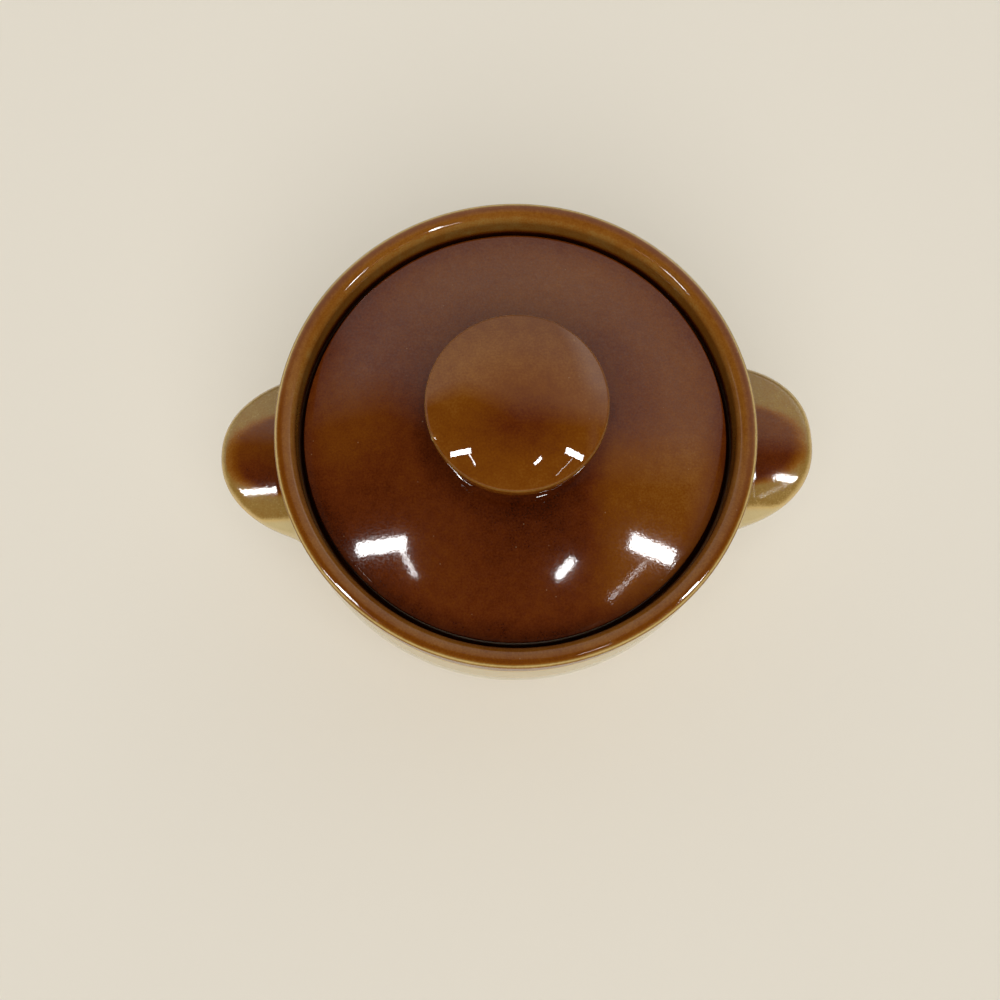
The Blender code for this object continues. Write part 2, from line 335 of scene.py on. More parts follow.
# %% Point helpers
def places(piece):
    """The piece's points as an array of x, y, z rows."""
    flat = np.empty(len(piece.data.vertices) * 3, np.float32)
    piece.data.vertices.foreach_get("co", flat)
    return flat.reshape(-1, 3).astype(float)


def normals(piece):
    """The direction that each point faces, as an array of x, y, z rows."""
    flat = np.empty(len(piece.data.vertices) * 3, np.float32)
    piece.data.vertex_normals.foreach_get("vector", flat)
    return flat.reshape(-1, 3).astype(float)


def fade(values, start, end):
    """0 at start and before it, 1 at end and past it, and a smooth step between them."""
    share = np.clip((values - start) / (end - start), 0, 1)
    return share * share * (3 - 2 * share)


def move_points(piece, points):
    """Puts the piece's points at new places."""
    piece.data.vertices.foreach_set("co", points.astype(np.float32).ravel())
    piece.data.update()


# %% [markdown]
# ## The pot
# The pot has a foot ring, a round belly, a rim with a small overhang, and a ledge inside the rim that the
# lid rests on. Its sizes repeat those of the solids, and its belly, rim and handles are read off them.

# %% The pot's sizes
pot_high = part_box("pot_body")[1]
RIM_CROWN = 1.4 * MM
RIM_HEIGHT = pot_high.z - RIM_CROWN
BELLY_RADIUS = pot_high.x
RIM_RADIUS = BELLY_RADIUS - 4.2 * MM
RIM_WIDTH = 4.6 * MM
EDGE_ROUND = 0.8 * MM
BELLY_HEIGHT = RIM_HEIGHT - 39 * MM
NECK = (RIM_RADIUS - 1.4 * MM, RIM_HEIGHT - 3.2 * MM)
FOOT_RADIUS = 52 * MM
FOOT_WIDTH = 6 * MM
FOOT_HEIGHT = 3 * MM
WALL = 6 * MM
OUTER_SKIN = BELLY_RADIUS - WALL + MM  # points further out than this are on the outer side of the belly
FLOOR_HEIGHT = FOOT_HEIGHT + 6.5 * MM
LEDGE_HEIGHT = RIM_HEIGHT - 10.9 * MM
LEDGE_THICKNESS = 4.5 * MM
RECESS_RADIUS = RIM_RADIUS - RIM_WIDTH - 1.2 * MM
BORE_RADIUS = RECESS_RADIUS - 6.2 * MM

# The rim is three arcs in one: a rounded inner edge, a broad top and a tight lip. Each runs between two turns
# of its normal, away from straight up and towards the outside
INNER_ARC = (2.4 * MM, math.radians(-78), math.radians(-30))
TOP_ARC = (4.5 * MM, math.radians(-30), math.radians(21))
LIP_ARC = (0.9 * MM, math.radians(21), math.radians(111))

print("rim", round(2 * RIM_RADIUS / MM, 1), "mm across")

# %% The handles' sizes
handle_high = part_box("right_handle")[1]
# The lug of each handle is a domed slab of oval plan, tilted up at its tip, with its middle inside the wall
LUG_MIDDLE = Vector((BELLY_RADIUS - 23.5 * MM, 0, RIM_HEIGHT - 36.3 * MM))
LUG_HALF = {-1: (45.4 * MM, 30.5 * MM), 1: (46.6 * MM, 30.0 * MM)}  # across and along, on the left and right
LUG_EDGE = 4.5 * MM
LUG_CROWN = 7 * MM
LUG_SWELL = 6 * MM
LUG_TILT = {-1: 0.13, 1: 0.20}
# The handles were pressed by hand, so each has its own shape: a fuller plan than an oval, shifted along the
# wall, and a top that falls off towards the tip by a curve and a slope, as shares of the crown
LUG_FULLNESS = {-1: 2.15, 1: 2.4}
LUG_SHIFT = {-1: 0.4 * MM, 1: -0.6 * MM}
LUG_FALL = {-1: 0.47, 1: 1.10}
LUG_LEAN = {-1: 0.55, 1: -0.17}
LUG_TOP_ROUND = 2 * MM
LUG_UNDER_ROUND = 4 * MM
print("handles", round(2 * handle_high.x / MM, 1), "mm over all")

# %% [markdown]
# ## The pot's outline
# The outer side needs close rows of points where the handles grow out of it, because each row is later
# drawn outwards there, and at the rim, where the colour of the glaze changes within a millimetre.

# %% Outer side of the pot
FINE_ROW = 0.5 * MM
RIM_ROW = 0.2 * MM
SPARSE = 3
LUG_ZONE = (LUG_MIDDLE.z - 17 * MM, LUG_MIDDLE.z + 20 * MM)
# How far a curve keeps its first direction, as shares of its width and its height
NECK_PULL = (0.26, 0.26)
BELLY_PULL = 0.42
FOOT_PULL = (0.50, 0.18)


def wall_curve(start, start_pull, end_pull, end):
    """A curve of the outer side, with close rows in the handles' zone."""
    fine = curve(start, start_pull, end_pull, end, round((start[1] - end[1]) / FINE_ROW))
    rows = enumerate(fine)
    keep = [place for row, place in rows if row % SPARSE == 0 or LUG_ZONE[0] < place[1] < LUG_ZONE[1]]
    return keep if keep[-1] == fine[-1] else keep + [fine[-1]]


def rim_arcs():
    """The rim's top from its inner wall to its lip: each small arc starts or ends on the broad one."""
    size, start, end = TOP_ARC
    middle = (RIM_RADIUS - RIM_WIDTH / 2, RIM_HEIGHT + RIM_CROWN - size)
    middles = []
    for (small, *turns), joint in ((INNER_ARC, start), (LIP_ARC, end)):
        apart = size - small
        middles.append((middle[0] + apart * math.sin(joint), middle[1] + apart * math.cos(joint)))
    return arc(middles[0], *INNER_ARC)[:-1] + arc(middle, *TOP_ARC)[:-1] + arc(middles[1], *LIP_ARC)


def pot_outside():
    belly = (BELLY_RADIUS, BELLY_HEIGHT)
    foot = (FOOT_RADIUS, FOOT_HEIGHT)
    rim = rim_arcs() + [NECK]
    spread, fall = BELLY_RADIUS - NECK[0], NECK[1] - BELLY_HEIGHT
    neck_pull = (NECK[0] + spread * NECK_PULL[0], NECK[1] - fall * NECK_PULL[1])
    shoulder = wall_curve(NECK, neck_pull, (BELLY_RADIUS, BELLY_HEIGHT + fall * BELLY_PULL), belly)
    spread, fall = BELLY_RADIUS - FOOT_RADIUS, BELLY_HEIGHT - FOOT_HEIGHT
    foot_pull = (FOOT_RADIUS + spread * FOOT_PULL[0], FOOT_HEIGHT + fall * FOOT_PULL[1])
    bowl = wall_curve(belly, (BELLY_RADIUS, BELLY_HEIGHT - fall * BELLY_PULL), foot_pull, foot)
    stand = outline(foot, (FOOT_RADIUS - EDGE_ROUND, 0, EDGE_ROUND), (FOOT_RADIUS - FOOT_WIDTH / 2, 0))
    return spaced(rim, RIM_ROW)[:-1] + shoulder[:-1] + bowl[:-1] + stand


print("outer side has", len(pot_outside()), "points")

# %% Inside and underside of the pot
FLOOR_CURVE = 10 * MM  # where the flat of the floor starts to curve up, inside the foot
FLOOR_PULL = 0.62
LEDGE_PULL = (0.60, 0.20)
BOWL_STEPS = 24
SHOULDER_STEPS = 16
FLAT_STEPS = 6
LEDGE_ROW = 0.8 * MM


def flat_rows(reach, height):
    """Points from the axis out to just short of a reach, at one height."""
    return [(reach * step / FLAT_STEPS, height) for step in range(FLAT_STEPS)]


def pot_inside():
    floor_edge = (FOOT_RADIUS - FOOT_WIDTH - FLOOR_CURVE, FLOOR_HEIGHT)
    belly = (BELLY_RADIUS - WALL, BELLY_HEIGHT)
    ledge_root = (BORE_RADIUS, LEDGE_HEIGHT - LEDGE_THICKNESS)
    spread, rise = belly[0] - floor_edge[0], BELLY_HEIGHT - FLOOR_HEIGHT
    floor_pull = (floor_edge[0] + spread * FLOOR_PULL, FLOOR_HEIGHT)
    bowl = curve(floor_edge, floor_pull, (belly[0], BELLY_HEIGHT - rise * FLOOR_PULL), belly, BOWL_STEPS)
    spread, rise = belly[0] - BORE_RADIUS, ledge_root[1] - BELLY_HEIGHT
    ledge_pull = (BORE_RADIUS + spread * LEDGE_PULL[0], ledge_root[1] - rise * LEDGE_PULL[1])
    belly_pull = (belly[0], BELLY_HEIGHT + rise * BELLY_PULL)
    shoulder = curve(belly, belly_pull, ledge_pull, ledge_root, SHOULDER_STEPS)
    recess = outline(
        ledge_root,
        (BORE_RADIUS, LEDGE_HEIGHT, EDGE_ROUND),
        (RECESS_RADIUS, LEDGE_HEIGHT, EDGE_ROUND),
        rim_arcs()[0],
    )
    return flat_rows(floor_edge[0], FLOOR_HEIGHT) + bowl[:-1] + shoulder[:-1] + spaced(recess, LEDGE_ROW)


def pot_underside():
    inner = FOOT_RADIUS - FOOT_WIDTH
    ring = outline(
        (FOOT_RADIUS - FOOT_WIDTH / 2, 0),
        (inner, 0, EDGE_ROUND),
        (inner - EDGE_ROUND, FOOT_HEIGHT, EDGE_ROUND),
        (inner - FOOT_WIDTH, FOOT_HEIGHT),
    )
    return ring[1:] + flat_rows(ring[-1][0], FOOT_HEIGHT)[::-1]


print("inside has", len(pot_inside()), "points, and the underside", len(pot_underside()))

# %% Turn the pot
POT_STEPS = 288
pot = turned("glazed_pot", pot_inside()[:-1] + pot_outside() + pot_underside(), POT_STEPS)

# %% [markdown]
# ## Drawing out the handles
# Each handle is a lug of clay pressed on to the wall, with its joint smoothed over, so that wall and lug
# are one skin. A Boolean union would leave a hard seam there, and a bevel along a seam of many small
# edges pinches. Instead, the wall behind each lug is subdivided, and its points move away from the lug's
# middle until they leave a soft union of wall and lug: two distances that are blended into one.

# %% Finer faces behind the handles
SECTOR_START = 58 * MM
SECTOR_HALF = 36 * MM

bpy.ops.object.mode_set(mode="EDIT")
bpy.ops.mesh.select_all(action="DESELECT")
bpy.ops.mesh.select_mode(type="FACE")
bpy.ops.object.mode_set(mode="OBJECT")
for face in pot.data.polygons:
    x, y, z = face.center
    outer = math.hypot(x, y) > OUTER_SKIN and LUG_ZONE[0] < z < LUG_ZONE[1]
    face.select = outer and abs(x) > SECTOR_START and abs(y) < SECTOR_HALF
bpy.ops.object.mode_set(mode="EDIT")
bpy.ops.mesh.subdivide(number_cuts=1)
bpy.ops.object.mode_set(mode="OBJECT")
print("pot has", len(pot.data.polygons), "faces with finer sectors")

# %% Distance to a lug
JOINT_BLEND = 5 * MM
NOT_ZERO = 1e-9  # keeps a division at the lug's middle in bounds


def lug_place(points, side):
    """Where points lie on a lug: how far up from its middle, and their shares of its reach out and along."""
    across = side * points[:, 0] - LUG_MIDDLE.x
    up = points[:, 2] - LUG_MIDDLE.z
    tilt, (half_out, half_along) = LUG_TILT[side], LUG_HALF[side]
    out = across * math.cos(tilt) + up * math.sin(tilt)
    up = up * math.cos(tilt) - across * math.sin(tilt)
    return up, out / half_out, (points[:, 1] - LUG_SHIFT[side]) / half_along


def plan_share(out, along, side):
    """How far from a lug's middle a place lies, seen from above: 1 on the outline of its plan."""
    power = LUG_FULLNESS[side]
    return (np.abs(out) ** power + np.abs(along) ** power) ** (1 / power)


def round_corner(first, second, size):
    """The greater of two distances, with the edge where they meet rounded."""
    first, second = first + size, second + size
    past = np.hypot(np.maximum(first, 0), np.maximum(second, 0))
    return past + np.minimum(np.maximum(first, second), 0) - size


def lug_distance(points, side):
    """Roughly how far each point lies outside the lug of one side: negative within it."""
    up, out, along = lug_place(points, side)
    half_out, half_along = LUG_HALF[side]
    share = plan_share(out, along, side)
    past = share * (share - 1) / np.maximum(np.hypot(out / half_out, along / half_along), NOT_ZERO)
    top = up - LUG_EDGE - LUG_CROWN * (1 - along ** 2 - LUG_FALL[side] * out ** 2 - LUG_LEAN[side] * out)
    under = -up - LUG_EDGE - LUG_SWELL * (1 - out ** 2 - along ** 2)
    return round_corner(round_corner(past, top, LUG_TOP_ROUND), under, LUG_UNDER_ROUND)


def soft_union(first, second, blend):
    """The lesser of two distances, with the step between them rounded over a width of blend."""
    share = np.clip(0.5 + 0.5 * (second - first) / blend, 0, 1)
    return second + (first - second) * share - blend * share * (1 - share)


lug_depth = -lug_distance(np.array([LUG_MIDDLE[:]]), 1)[0]
print("the lug's middle lies", round(float(lug_depth) / MM, 1), "mm deep in it")

# %% Draw the handles out
LONGEST_DRAW = 40 * MM
HALVINGS = 40

line = np.array(pot_outside()[len(rim_arcs()):])[::-1]
points = places(pot)
radius = np.hypot(points[:, 0], points[:, 1])
in_zone = (points[:, 2] > LUG_ZONE[0]) & (points[:, 2] < LUG_ZONE[1])
outer = in_zone & (np.abs(points[:, 1]) < SECTOR_HALF) & (radius > OUTER_SKIN)
for side in (-1, 1):
    chosen = outer & (np.sign(points[:, 0]) == side)
    wall = points[chosen]
    away = wall - np.array((side * LUG_MIDDLE.x, 0, LUG_MIDDLE.z))
    away /= np.linalg.norm(away, axis=1)[:, None]
    near, far = np.zeros(len(wall)), np.full(len(wall), LONGEST_DRAW)
    for halving in range(HALVINGS):
        middle = (near + far) / 2
        moved = wall + away * middle[:, None]
        past_wall = np.hypot(moved[:, 0], moved[:, 1]) - np.interp(moved[:, 2], line[:, 1], line[:, 0])
        inside = soft_union(past_wall, lug_distance(moved, side), JOINT_BLEND) < 0
        near, far = np.where(inside, middle, near), np.where(inside, far, middle)
    points[chosen] = wall + away * near[:, None]
move_points(pot, points)
print("handles reach", round(float(points[:, 0].max()) / MM, 2), "mm right and",
      round(float(-points[:, 0].min()) / MM, 2), "mm left")

# %% [markdown]
# ## The lid and its knob
# The lid is a shallow dome with a flat seat and a locating ring below. The knob is a thick waisted disc,
# hollow from below, stuck on before glazing, so the glaze fills the corner between them. Lid and knob are
# turned as one outline.

# %% Lid sizes
lid_low, lid_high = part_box("lid")
knob_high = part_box("lid_knob")[1]
SEAT_HEIGHT = LEDGE_HEIGHT + 0.3 * MM
LID_RADIUS = lid_high.x
LID_EDGE = 5 * MM
LID_RISE = 8 * MM
LID_WALL = 6 * MM
LID_ROUND = 0.6 * MM
RING_OUTER = BORE_RADIUS - 1.4 * MM
RING_INNER = RING_OUTER - 4.5 * MM
RING_BOTTOM = lid_low.z
RING_ROUND = 1.4 * MM
KNOB_RADIUS = 24.8 * MM
KNOB_CROWN = 4.7 * MM
KNOB_EDGE = knob_high.z - KNOB_CROWN
KNOB_SIDE = 6 * MM
KNOB_SWELL = 0.1 * MM
KNOB_ROUND = 2.4 * MM
KNOB_HOLLOW = 14 * MM
HOLLOW_ROUND = 3.6 * MM
KNOB_ROOF = knob_high.z - 6.5 * MM
WAIST_DROP = 3 * MM  # from the foot of the knob's side down to the pull of its waist
WAIST = (18.2 * MM, KNOB_EDGE - KNOB_SIDE - WAIST_DROP)
FILLET_RADIUS = 24.9 * MM
FILLET_RISE = 5.6 * MM
print("knob", round(2 * KNOB_RADIUS / MM, 1), "mm across, lid", round(2 * LID_RADIUS / MM, 1), "mm across")

# %% [markdown]
# ### The lid's outline
# It starts on the axis, at the top of the knob, runs over its edge, down its waist and out over the dome,
# turns round the lid's edge, its seat and its ring, and comes back to the axis inside the knob's hollow.

# %% Lid and knob
LID_STEPS = 288
CROWN_STEPS = 20
DOME_STEPS = 28
WAIST_STEPS = 20
BELOW_STEPS = 12
FILLET_LIFT = 2 * MM
EDGE_ROW = 0.4 * MM
HOLLOW_ROW = 1.6 * MM
DOME_END = LID_RADIUS - LID_ROUND * 1.5  # just before the lid's rounded edge


def dome(radius):
    """Height of the lid's top at a distance from the axis."""
    return SEAT_HEIGHT + LID_EDGE + LID_RISE * (1 - (radius / LID_RADIUS) ** 2)


def dome_line(start, end, drop, steps):
    radii = [start + (end - start) * step / steps for step in range(steps + 1)]
    return [(radius, dome(radius) - drop) for radius in radii]


shares = [step / CROWN_STEPS for step in range(CROWN_STEPS)]
crown = [(KNOB_RADIUS * share, KNOB_EDGE + KNOB_CROWN * (1 - share ** 2)) for share in shares]
knob_edge = (KNOB_RADIUS, KNOB_EDGE, KNOB_ROUND)
knob_foot = (KNOB_RADIUS + KNOB_SWELL, KNOB_EDGE - KNOB_SIDE, KNOB_ROUND)
knob_side = spaced(outline(crown[-1], knob_edge, knob_foot, WAIST)[:-1], EDGE_ROW)
fillet = (FILLET_RADIUS, dome(FILLET_RADIUS))
fillet_top = (WAIST[0], dome(WAIST[0]) + FILLET_RISE)
waist_end = (WAIST[0], fillet_top[1] + FILLET_LIFT)
top_pull = (WAIST[0], fillet_top[1] - FILLET_PULL * FILLET_RISE)
fillet_pull = (FILLET_RADIUS - FILLET_PULL * (FILLET_RADIUS - WAIST[0]), dome(FILLET_RADIUS))
waist = curve(knob_side[-1], WAIST, waist_end, fillet_top, WAIST_STEPS)[:-1]
waist += curve(fillet_top, top_pull, fillet_pull, fillet, WAIST_STEPS)
top = dome_line(FILLET_RADIUS, DOME_END, 0, DOME_STEPS)
below = dome_line(RING_INNER - RING_ROUND, KNOB_HOLLOW, LID_WALL, BELOW_STEPS)
edge = outline(
    top[-1],
    (LID_RADIUS, SEAT_HEIGHT + LID_EDGE, LID_ROUND),
    (LID_RADIUS, SEAT_HEIGHT, EDGE_ROUND),
    (RING_OUTER, SEAT_HEIGHT, EDGE_ROUND),
    (RING_OUTER, RING_BOTTOM, EDGE_ROUND),
    (RING_INNER, RING_BOTTOM, EDGE_ROUND),
    (RING_INNER, dome(RING_INNER) - LID_WALL, EDGE_ROUND),
    below[0],
)
hollow = outline(below[-1], (KNOB_HOLLOW, KNOB_ROOF, HOLLOW_ROUND), (0, KNOB_ROOF))
lid_line = crown[:-1] + knob_side[:-1] + waist[:-1] + top[:-1] + spaced(edge, LEDGE_ROW)[:-1]
lid = turned("glazed_lid", lid_line + below[:-1] + spaced(hollow, HOLLOW_ROW), LID_STEPS)

# %% [markdown]
# ### A warp and a run of glaze
# The lid warped a little in the kiln. Its edge stands higher and flatter at the back, and more so on the
# right, so that it mirrors the pale back of the room almost up to the gap. A lattice could bend it too, but
# two smooth steps, one outwards and one towards the back, say plainly what moves.

# %% Warp of the lid
WARP_START = 48 * MM  # the radius where it sets in
WARP_LIFT = 1.6 * MM
WARP_DRAW = 0.9 * MM  # how far the edge is drawn inwards there
WARP_TURN = math.radians(80)  # the way to its middle, from the right round towards the back
WARP_REACH = (-0.15, 0.45)  # where it starts and is full, as shares of the radius along that way
WARP_ABOVE = (SEAT_HEIGHT + 2.6 * MM, SEAT_HEIGHT + LID_EDGE)  # the underside keeps its shape

points = places(lid)
radius = np.maximum(np.hypot(points[:, 0], points[:, 1]), MM)
warp = np.clip((radius - WARP_START) / (LID_RADIUS - WARP_START), 0, 1) ** 2
way = np.array((math.cos(WARP_TURN), math.sin(WARP_TURN)))
towards = points[:, :2] @ way / radius
warp *= fade(towards, *WARP_REACH) * fade(points[:, 2], *WARP_ABOVE)
points[:, :2] *= (1 - WARP_DRAW * warp / radius)[:, None]
points[:, 2] += WARP_LIFT * warp
move_points(lid, points)
print("warp lifts the lid's edge by", round(float(WARP_LIFT * warp.max()) / MM, 2), "mm")

# %% [markdown]
# A run of glaze stands as a small ridge across the knob's edge. It is a bump a few tenths of a millimetre
# high, so the points near it are lifted along their normals.

# %% Glaze run on the knob
RUN_TURN = math.radians(203)  # from the right, round the back, to the front left
RUN_LENGTH = 1.5 * MM
RUN_WIDTH = 0.55 * MM
RUN_HEIGHT = 0.35 * MM
RUN_OUT = 0.5 * MM  # how far its middle lies past the knob's edge
RUN_SEEN = 0.1

points = places(lid)
run_out = np.array((math.cos(RUN_TURN), math.sin(RUN_TURN)))
along = points[:, :2] @ run_out - KNOB_RADIUS - RUN_OUT
aside = points[:, :2] @ np.array((-run_out[1], run_out[0]))
drop = np.minimum(points[:, 2] - KNOB_EDGE, 0)
glaze_run = np.exp(-(along ** 2 + drop ** 2) / RUN_LENGTH ** 2 - (aside / RUN_WIDTH) ** 2)
move_points(lid, points + normals(lid) * (RUN_HEIGHT * glaze_run)[:, None])
print("glaze run lifts", int((glaze_run > RUN_SEEN).sum()), "points")

# %% [markdown]
# ## Painting the glaze
# The potter sprayed a brown glaze over a cream one. Where it lies thick it is a dark red-brown, thinner it
# is amber and then straw, and where there is none the cream shows. So one painted number, the depth of the
# brown glaze, gives nearly all the colour of the dish. The same number also carries painted shade, in the
# recess under the lid, along the lid's edge and round the knob's foot, and painted light on the back of the
# recess wall. It is worked out for each point from its place.

# %% Painting helpers
def spot(x, y, middle, reach):
    """1 at the middle of a soft round patch, seen from above, falling off over its two reaches in mm."""
    return np.exp(-((x / MM - middle[0]) / reach[0]) ** 2 - ((y / MM - middle[1]) / reach[1]) ** 2)


def paint(piece, **shares):
    """Stores painted values, one for each point of the piece, for its glaze to read."""
    for name, values in shares.items():
        attribute = piece.data.attributes.new(name, "FLOAT", "POINT")
        attribute.data.foreach_set("value", np.clip(values, 0, 1).astype(np.float32))
        print(piece.name, name, "from", round(float(values.min()), 2), "to", round(float(values.max()), 2))


# %% [markdown]
# ### The pot's glaze
# The brown covers the inside and the rim, and breaks to a pale line along the rim's sharp lip. It was
# sprayed on to the handles from above: a brown patch on top, an olive margin where the spray thins out, and
# cream below. The foot and the ledge under the lid are wiped bare, so that nothing sticks in the kiln.

# %% Brown on the rim
RIM_DEPTH = 0.51
RIM_TALL = 4 * MM  # how far down from its outer edge the rim's own glaze goes
RIM_BAND = (0.13, RIM_RADIUS - 2.0 * MM, 0.9 * MM)  # a deeper band: by how much, where and how wide
RIM_INNER_EDGE = (RIM_RADIUS - 5.2 * MM, RIM_RADIUS - 4.2 * MM)  # where the wall's glaze becomes the rim's
WALL_DEPTH = 0.47
WALL_BACK_LIGHT = 0.05  # painted light and shade: how much lighter the recess wall is at the back, and darker at the front, than at the middle
LIP_DEPTH = 0.17
LIP_LINE = (0.75 * MM, 0.42 * MM)  # its place before the lip's corner, and its width
SHOULDER_DEPTH = 0.42
SHOULDER_FALL = (76.5 * MM, 79.5 * MM)  # heights between which the brown runs out below the lip

x, y, z = places(pot).T
radius = np.hypot(x, y)
on_rim = z > RIM_HEIGHT - RIM_TALL
deeper, band_place, band_width = RIM_BAND
rim_depth = RIM_DEPTH + deeper * np.exp(-((radius - band_place) / band_width) ** 2)
# Painted light: the recess wall is lighter at the back, where more light falls on it, and darker at the front
wall_depth_and_light = WALL_DEPTH - WALL_BACK_LIGHT * y / RIM_RADIUS
rim_depth += (wall_depth_and_light - RIM_DEPTH) * (1 - fade(radius, *RIM_INNER_EDGE))
before_lip = RIM_RADIUS - radius - np.maximum(RIM_HEIGHT - z, 0)
lip_place, lip_width = LIP_LINE
lip = np.exp(-((before_lip - lip_place) / lip_width) ** 2)
rim_depth += (LIP_DEPTH - rim_depth) * lip
rim_depth = np.where(before_lip < lip_place, np.minimum(rim_depth, SHOULDER_DEPTH), rim_depth)
shoulder_depth = np.where(on_rim, rim_depth, SHOULDER_DEPTH * fade(z, *SHOULDER_FALL))
print("rim has", int(on_rim.sum()), "points")

# %% Spray on the handles
OLIVE_DEPTH = 0.33
OLIVE_FRONT = {-1: -21.5 * MM, 1: -22.8 * MM}
OLIVE_SOFT = 1.3 * MM
OLIVE_FALL = (-1 * MM, 3.5 * MM)  # heights on the lug between which the olive runs out down its side
SPRAY_FALL = (70 * MM, 86 * MM)  # heights on the wall above a handle between which the spray runs out
SPRAY_NARROWING = 0.6  # how much narrower the sprayed patch is at the top of that wall
SPRAY_RISE = (70 * MM, 82 * MM)
SPRAY_REACH = (1.0, 1.35)  # where the spray starts to thin out past the lug's plan, and where it ends
HANDLE_DEPTH = 0.82
HANDLE_THINNING = 0.15  # how much thinner the brown is at the back of its patch
THINNING_REACH = (-8 * MM, 4 * MM)
BROWN_PATCH = {-1: (-15.5 * MM, 15.0 * MM), 1: (-17.2 * MM, 12.3 * MM)}  # front and back end on each side
BROWN_REACH = {-1: 0.925, 1: 0.92}  # how far out the patch goes, as a share of the lug's plan
BROWN_ROUNDNESS = 2.6
BROWN_EDGE = (0.90, 1.07)  # where the patch starts to thin out and where it ends, as shares of its size
PALE_EDGE = 0.45  # how much of the glaze has run off the lug's edge
PALE_REACH = (0.955, 0.985)

handle_depth = np.zeros(len(z))
on_handle = np.zeros(len(z))
for side, (front, rear) in BROWN_PATCH.items():
    up, out, along = lug_place(places(pot), side)
    share = plan_share(out, along, side)
    narrowed = share + SPRAY_NARROWING * fade(z, *SPRAY_RISE)
    here = (np.sign(x) == side) * (1 - fade(narrowed, *SPRAY_REACH))
    sprayed = here * fade(up, *OLIVE_FALL) * (1 - fade(z, *SPRAY_FALL))
    olive = sprayed * fade(y, OLIVE_FRONT[side] - OLIVE_SOFT, OLIVE_FRONT[side] + OLIVE_SOFT)
    from_middle = np.abs(y - (front + rear) / 2) / ((rear - front) / 2)
    outwards = np.abs(out / BROWN_REACH[side])
    patch = (from_middle ** BROWN_ROUNDNESS + outwards ** BROWN_ROUNDNESS) ** (1 / BROWN_ROUNDNESS)
    brown = sprayed * (1 - fade(patch, *BROWN_EDGE))
    brown_depth = HANDLE_DEPTH - HANDLE_THINNING * fade(y, *THINNING_REACH)
    thick = OLIVE_DEPTH * olive + (brown_depth - OLIVE_DEPTH) * brown
    handle_depth += thick * (1 - PALE_EDGE * fade(share, *PALE_REACH))
    on_handle += here * (radius > BELLY_RADIUS + MM)
print("brown on the handles is up to", round(float(handle_depth.max()), 2), "deep")

# %% Glaze inside the pot, painted shade in the recess, and bare clay
INSIDE_DEPTH = 0.62
LEDGE_SHADE = 4 * MM  # how far below the ledge the painted shade starts to darken the inside
# Painted shade: the recess under the lid is painted nearly black low down, and this fades out between these
# heights
RECESS_SHADE_DEPTH = 1.0
RECESS_SHADE_FALL = (RIM_HEIGHT - 6.6 * MM, RIM_HEIGHT - 4.2 * MM)
BARE_HEIGHT = 0.3 * MM
RIM_WEAR = 0.2
HANDLE_WEAR = 1.0

# Painted shade: dark on the ledge and low in the recess under the lid, golden higher up its wall
line = np.array(pot_outside())[::-1]
within = (radius < np.interp(z, line[:, 1], line[:, 0]) - WALL / 2) & (z > FLOOR_HEIGHT - MM)
shaded = fade(z, LEDGE_HEIGHT - LEDGE_SHADE, LEDGE_HEIGHT)
inner_depth_and_shade = INSIDE_DEPTH + (RECESS_SHADE_DEPTH - INSIDE_DEPTH) * shaded
inner_depth_and_shade += (wall_depth_and_light - RECESS_SHADE_DEPTH) * fade(z, *RECESS_SHADE_FALL)
pot_depth_and_shade = np.where(within & ~on_rim, inner_depth_and_shade, np.maximum(shoulder_depth, handle_depth))
pot_wear = RIM_WEAR + (HANDLE_WEAR - RIM_WEAR) * on_handle
ledge_flat = (radius > BORE_RADIUS + MM) & (radius < RECESS_RADIUS - MM)
on_ledge = (np.abs(z - LEDGE_HEIGHT) < BARE_HEIGHT) & ledge_flat
wiped = ((z < BARE_HEIGHT) | on_ledge).astype(float)
paint(pot, glaze_depth=pot_depth_and_shade, bare_clay=wiped, wear=pot_wear)

# %% [markdown]
# ### The lid's glaze
# The lid was glazed all over, and thickly. Painted shade darkens it along the edge and round the knob's foot,
# and its glaze lies thinner, more amber, in two broad patches. It thins to a pale line along the knob's edge.

# %% Glaze and painted shade on the dome
LID_DEPTH = 0.80
# Painted shade: the depth that the lid is darkened to at its edge and round the knob's foot
LID_SHADE_DEPTH = 0.87
EDGE_SHADE = (55 * MM, 62 * MM)  # radii between which painted shade darkens the lid towards its edge
FOOT_SHADE = (25 * MM, 32 * MM)  # radii inside which painted shade darkens it round the knob's foot
# The broad amber patch on the right: its change of depth, and its soft borders
AMBER_CHANGE = -0.20
AMBER_LEFT = (16 * MM, 29 * MM)
AMBER_RIGHT = (50 * MM, 66 * MM)
AMBER_MIDDLE = -30 * MM
AMBER_ALONG = (14 * MM, 34 * MM)
# The softer patches: the change of depth, and each one's middle and reach in mm, seen from above
LID_PATCHES = (
    (-0.10, (-51, -5), (17, 20)),
    (-0.16, (6, 42), (44, 22)),
    (-0.12, (52, 8), (16, 22)),
    (0.07, (-50, -25), (13, 14)),
    (0.05, (0, -31), (16, 10)),
)

x, y, z = places(lid).T
radius = np.hypot(x, y)
# Painted shade: darker towards the lid's edge and round the knob's foot
shaded = fade(radius, *EDGE_SHADE) + 1 - fade(radius, *FOOT_SHADE)
dome_depth_and_shade = LID_DEPTH + (LID_SHADE_DEPTH - LID_DEPTH) * shaded
amber = fade(x, *AMBER_LEFT) * (1 - fade(x, *AMBER_RIGHT))
amber *= 1 - fade(np.abs(y - AMBER_MIDDLE), *AMBER_ALONG)
dome_depth_and_shade += AMBER_CHANGE * amber
for change, middle, reach in LID_PATCHES:
    dome_depth_and_shade += change * spot(x, y, middle, reach)
print("dome's glaze is", round(float(dome_depth_and_shade.min()), 2), "to", round(float(dome_depth_and_shade.max()), 2), "deep")

